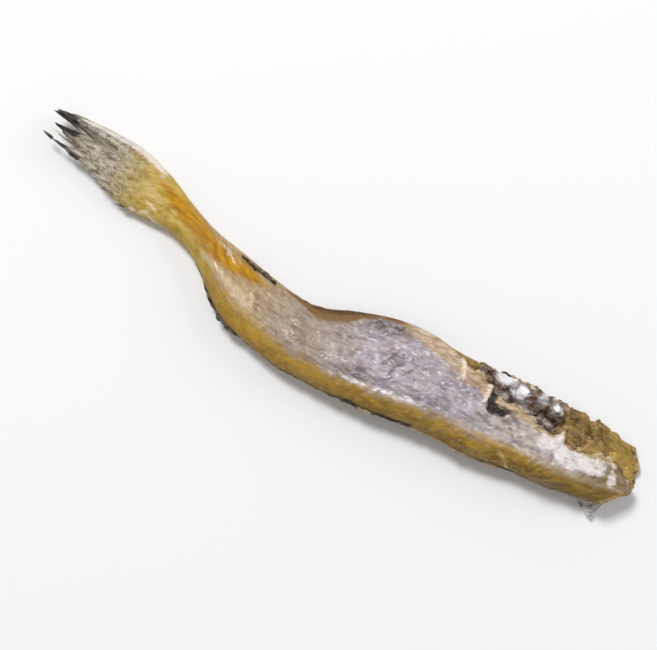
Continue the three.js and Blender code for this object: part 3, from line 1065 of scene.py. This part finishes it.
class Sheets:
    """Thin ragged sheets and strands gathered into one piece."""

    def __init__(self):
        self.points, self.faces, self.pattern, self.dark = [], [], [], []

    def add_tube(self, grid, pattern, dark):
        """A grid of rows, each a ring of points, with its ends closed."""
        first = sum(len(points) for points in self.points)
        rows, columns = grid.shape[:2]
        near_end = tuple(range(columns))[::-1]
        far_end = tuple((rows - 1) * columns + i for i in range(columns))
        faces = [*tube_faces(rows, columns), near_end, far_end]
        self.faces += [tuple(first + i for i in face) for face in faces]
        self.points.append(grid.reshape(-1, 3))
        self.pattern.append(pattern.reshape(-1, 3))
        self.dark.append(np.broadcast_to(dark, grid.shape[:2]).ravel())

    def add_sheet(self, root, reach, steps, thickness=0.12, crumple=0.25, folds=1.8, dark=0.0):
        """A sheet from a root line of points out along each point's reach, crumpled into folds."""
        out = np.linspace(0, 1, steps)[None, :, None]
        flat = root[:, None] + reach[:, None] * out
        ripple = layered(flat + 50, folds, 2) * crumple * out[..., 0] ** 0.7
        flat = flat + np.stack([ripple * 0.4, ripple * 0, ripple], -1)
        under = flat - (0, 0, thickness)
        grid = np.concatenate([flat, under[:, ::-1]], 1)
        length = np.cumsum(np.linalg.norm(np.diff(root, axis=0, prepend=root[:1]), axis=1))
        across = np.linalg.norm(reach, axis=1)[:, None] * out[..., 0]
        half = np.stack([np.repeat(length[:, None], steps, 1), across, across * 0], -1)
        pattern = np.concatenate([half, half[:, ::-1]], 1) + root[0]
        self.add_tube(grid, pattern, dark)

    def add_strand(self, path, radius, dark):
        """A thin strand along three points, which tapers to its end."""
        parts = np.linspace(0, 2, STRAND_STEPS)
        line = np.stack([np.interp(parts, range(3), axis) for axis in np.transpose(path)], -1)
        line = line + STRAND_WANDER * np.stack([layered(line + k, 1.5, 2) for k in (0, 7, 14)], -1)
        taper = radius * (1.05 - (parts / 2) ** 2)
        side = np.cross(np.gradient(line, axis=0), (0, 0, 1))
        side = side / np.linalg.norm(side, axis=1, keepdims=True)
        turn = np.linspace(0, 2 * math.pi, STRAND_SIDES, endpoint=False)[:, None]
        ring = side[:, None] * np.cos(turn) + np.array([0, 0, STRAND_FLATNESS]) * np.sin(turn)
        grid = line[:, None] + ring * taper[:, None, None]
        self.add_tube(grid, grid, dark)

    def make(self, name, material=None):
        material = material or membrane_material(name, *MEMBRANES[name])
        piece = mesh_object(name, np.vstack(self.points), self.faces, material)
        add_field(piece, "pattern", np.vstack(self.pattern))
        add_field(piece, "dark", np.concatenate(self.dark))
        ride_root(piece)


def bulge(count, power):
    """0 at the ends and 1 in the middle of a run of points, squarer where the power is low."""
    return np.sin(math.pi * np.linspace(0, 1, count)) ** power


def make_fringe(name, root, width, steps, dark):
    """What is left of a fin: a ragged strip along the back, or along the belly at negative widths."""
    sheets = Sheets()
    sheets.add_sheet(root, width[:, None] * FRINGE_LEAN, steps, dark=dark[:, None])
    sheets.make(name)


def make_back_fringe(loft):
    x = np.linspace(BACK_FRINGE[0][0], BACK_FRINGE[-1][0], 420)
    root = loft.points[loft.row_at(x), COLUMNS - 2]
    ragged = 1 + 0.7 * layered(along_line(x), 1.6) + 0.4 * layered(along_line(x), 5, 1)
    width = smooth_curve(BACK_FRINGE, x) * np.clip(ragged, 0.15, 2)
    make_fringe("back_fin_remnant", root, width, 7, np.interp(x, *np.transpose(BACK_FRINGE_DARK_AND_SHADOW)))


def make_belly_fringe(loft):
    x = np.linspace(*BELLY_FRINGE_ENDS, 120)
    root = loft.points[loft.row_at(x), 2] - (0, 0.3, 0)
    ragged = 1 + 0.6 * layered(along_line(x + 9), 1.9)
    width = BELLY_FRINGE_WIDTH * bulge(len(x), 0.6) * np.clip(ragged, 0.2, 2)
    make_fringe("belly_fin_remnant", root, -width, 6, band(x, *BELLY_FRINGE_DARK_ALONG))


def make_fin_strands(loft):
    """Loose rays of the tail fin: the broken lowest point, and hairs along the lower edge."""
    sheets = Sheets()

    def strand(root, tip, radius, dark):
        height = loft.top_height(*root) + 0.05
        path = [(*root, height - 0.1), (*np.mean([root, tip], 0), height), (*tip, height + 0.2)]
        sheets.add_strand(path, radius, dark)

    for ray in LOOSE_RAYS:
        strand(*ray)
    chance = np.random.default_rng(4)
    for _ in range(HAIRS):
        row = loft.row_at(chance.uniform(*HAIRS_ALONG))
        x, y = loft.points[row, COLUMNS, :2]
        length, stray = chance.uniform(1, 2.6), chance.uniform(-0.1, 0.35)
        root, tip = (x, y + 0.3), (x - length, y - stray)
        strand(root, tip, chance.uniform(0.06, 0.12), chance.uniform(0, 0.7))
    sheets.make("tail_fin_strands")


def make_cut_shreds(loft):
    """Torn skin and flesh round the cut."""
    sheets = Sheets()
    ring = loft.points[-3]
    chance = np.random.default_rng(8)
    for _ in range(CUT_SHREDS):
        start = chance.integers(0, len(ring) - SHRED_POINTS - 1)
        root = ring[start:start + SHRED_POINTS] - (0.3, 0, 0)
        length = chance.uniform(0.3, 1.3) * bulge(SHRED_POINTS, 0.5)
        lean = chance.uniform(-0.4, 0.4)
        reach = np.stack([length, lean * length, 0.3 * lean * length], -1)
        sheets.add_sheet(root, reach, 5, thickness=0.1, crumple=0.3, dark=chance.uniform(0, 0.5))
    sheets.make("cut_end_shreds")


def make_hanging_flap():
    """The glossy triangle of skin that hangs below the cut."""
    across = np.linspace(0, 1, 30)
    root = lerp(*np.array(FLAP_ROOT), across[:, None])
    drop = np.interp(across, *np.transpose(FLAP_DROP)) + 0.3 * layered(along_line(across * 6), 1.2)
    reach = np.stack([0.05 * drop, -drop, -0.12 * drop], -1)
    sheets = Sheets()
    sheets.add_sheet(root, reach, 20, thickness=0.15, crumple=0.7, folds=2.4)
    sheets.make("hanging_skin_flap")


def make_rim_shreds(loft):
    """Small torn shreds that stand along both rims of the opened belly."""
    sheets = Sheets()
    chance = np.random.default_rng(21)
    upper_rim, lower_rim = 0, 2 * COLUMNS
    for _ in range(RIM_SHREDS):
        rim = upper_rim if chance.random() < UPPER_RIM_SHARE else lower_rim
        row = loft.row_at(chance.uniform(*RIM_SHREDS_ALONG))
        root = loft.points[row:row + chance.integers(5, 14), rim] - (0, 0.15, 0)
        if len(root) < 4:
            continue
        length = chance.uniform(0.25, 0.9) * bulge(len(root), 0.7)
        lean, rise = chance.uniform(-0.5, 0.5), chance.uniform(-0.2, 0.8)
        reach = np.stack([lean * length, length, rise * length], -1)
        sheets.add_sheet(root, reach, 5, thickness=0.1, dark=chance.uniform(0, 0.6))
    sheets.make("belly_rim_shreds")


def make_belly_lining():
    """The crumpled silvery lining that lies in the opened belly, between the near and the far rim."""
    x = np.linspace(*LINING_ENDS, 150)
    outline = smooth_outline(x)
    ragged = 0.5 * layered(along_line(x), 2.5) - 2.5 * ease(x, *LINING_NARROWS)
    near_edge = np.stack([x, outline.upper_rim - 1.4, outline.rim_top - 4], -1)
    far_edge = np.stack([x, outline.lower_rim - 0.3 + ragged, np.full(len(x), 2)], -1)
    sheets = Sheets()
    sheets.add_sheet(near_edge, far_edge - near_edge, 60, thickness=0.15, crumple=1.0, folds=3.4)
    points = sheets.points[0]
    from_near = points[:, 1] - np.interp(points[:, 0], x, near_edge[:, 1])
    # How dark the lining is painted: painted shade in the gap by the near rim, and paler tops on the
    # lumps as painted light.
    dark = 1 - ease(from_near, 0.6, 2.6)
    for lump_x, lump_y, size, height in LINING_LUMPS:
        away = np.hypot(points[:, 0] - lump_x, points[:, 1] - lump_y) / size
        points[:, 2] += height * np.exp(-away ** 2)
        dark = dark - 1.2 * np.exp(-(away * 1.2) ** 4)
    sheets.dark[0] = dark
    sheets.make("belly_lining", lining_material())


# ---- stage

def make_floor():
    """A round pale floor. Its far part glows a little, so that it fades into the background."""
    s = Shader(bpy.data.materials.new("pale floor"))
    s.place = s.node("ShaderNodeTexCoord", output="Object")
    tint = s.noise(0.6, detail=2)
    away = s.node("ShaderNodeVectorMath", {"Vector": s.place}, output="Value", operation="LENGTH")
    glow = away.step(GLOW_STARTS * MM, FLOOR_RADIUS * MM) * FLOOR_GLOW
    colour = tint.blend((247, 247, 248), (249, 249, 250))
    s.set(Base_Color=colour, Roughness=0.85, Emission_Strength=glow)
    turns = np.linspace(0, 2 * math.pi, 128, endpoint=False)
    rim = FLOOR_RADIUS * np.stack([np.cos(turns), np.sin(turns), turns * 0], -1)
    mesh_object("floor", rim, [range(len(rim))], s.owner)


def make_camera():
    """Looks straight down, turned so that the fish runs from upper left to lower right."""
    data = bpy.data.cameras.new("camera")
    data.lens = LENS
    camera = add_object("camera", data)
    centre = (CAD_LOW + CAD_HIGH) / 2
    distance = VIEW_WIDTH * MM * data.lens / data.sensor_width
    camera.location = (centre.x, centre.y, distance + CAD_HIGH.z)
    camera.rotation_euler = (0, 0, CAMERA_TURN)
    bpy.context.scene.camera = camera


def make_lamp(name, side, up, height, size, watts):
    """A square soft box, placed by the picture's own right and up, aimed at the fish."""
    data = bpy.data.lights.new(name, "AREA")
    data.size = size
    data.energy = watts
    lamp = add_object(name, data)
    lamp.location = IMAGE_RIGHT * side + IMAGE_UP * up + Vector((0, 0, height))
    lamp.rotation_euler = (-lamp.location).to_track_quat("-Z", "Y").to_euler()


def make_world():
    """Soft light from all round, brighter low down so that the floor ends in a pale horizon."""
    s = Shader(bpy.data.worlds.new("studio"), "Background")
    direction = s.node("ShaderNodeTexCoord", output="Generated")
    upness = s.node("ShaderNodeSeparateXYZ", {0: direction}, output="Z")
    s.set(Color=(1, 1, 1, 1), Strength=upness.step(0, 0.5).level(HORIZON_LIGHT, OVERHEAD_LIGHT))
    bpy.context.scene.world = s.owner
    bpy.context.scene.view_settings.view_transform = "Standard"


make_camera()
make_world()
make_lamp("key_light", side=-0.35, up=0.8, height=1.2, size=0.36, watts=15.1)
make_lamp("low_light", side=0.9, up=0.2, height=0.5, size=0.5, watts=2.0)
make_floor()
fish = Loft()
make_fish_body(fish)
make_back_fringe(fish)
make_belly_fringe(fish)
make_fin_strands(fish)
make_cut_shreds(fish)
make_hanging_flap()
make_rim_shreds(fish)
make_belly_lining()
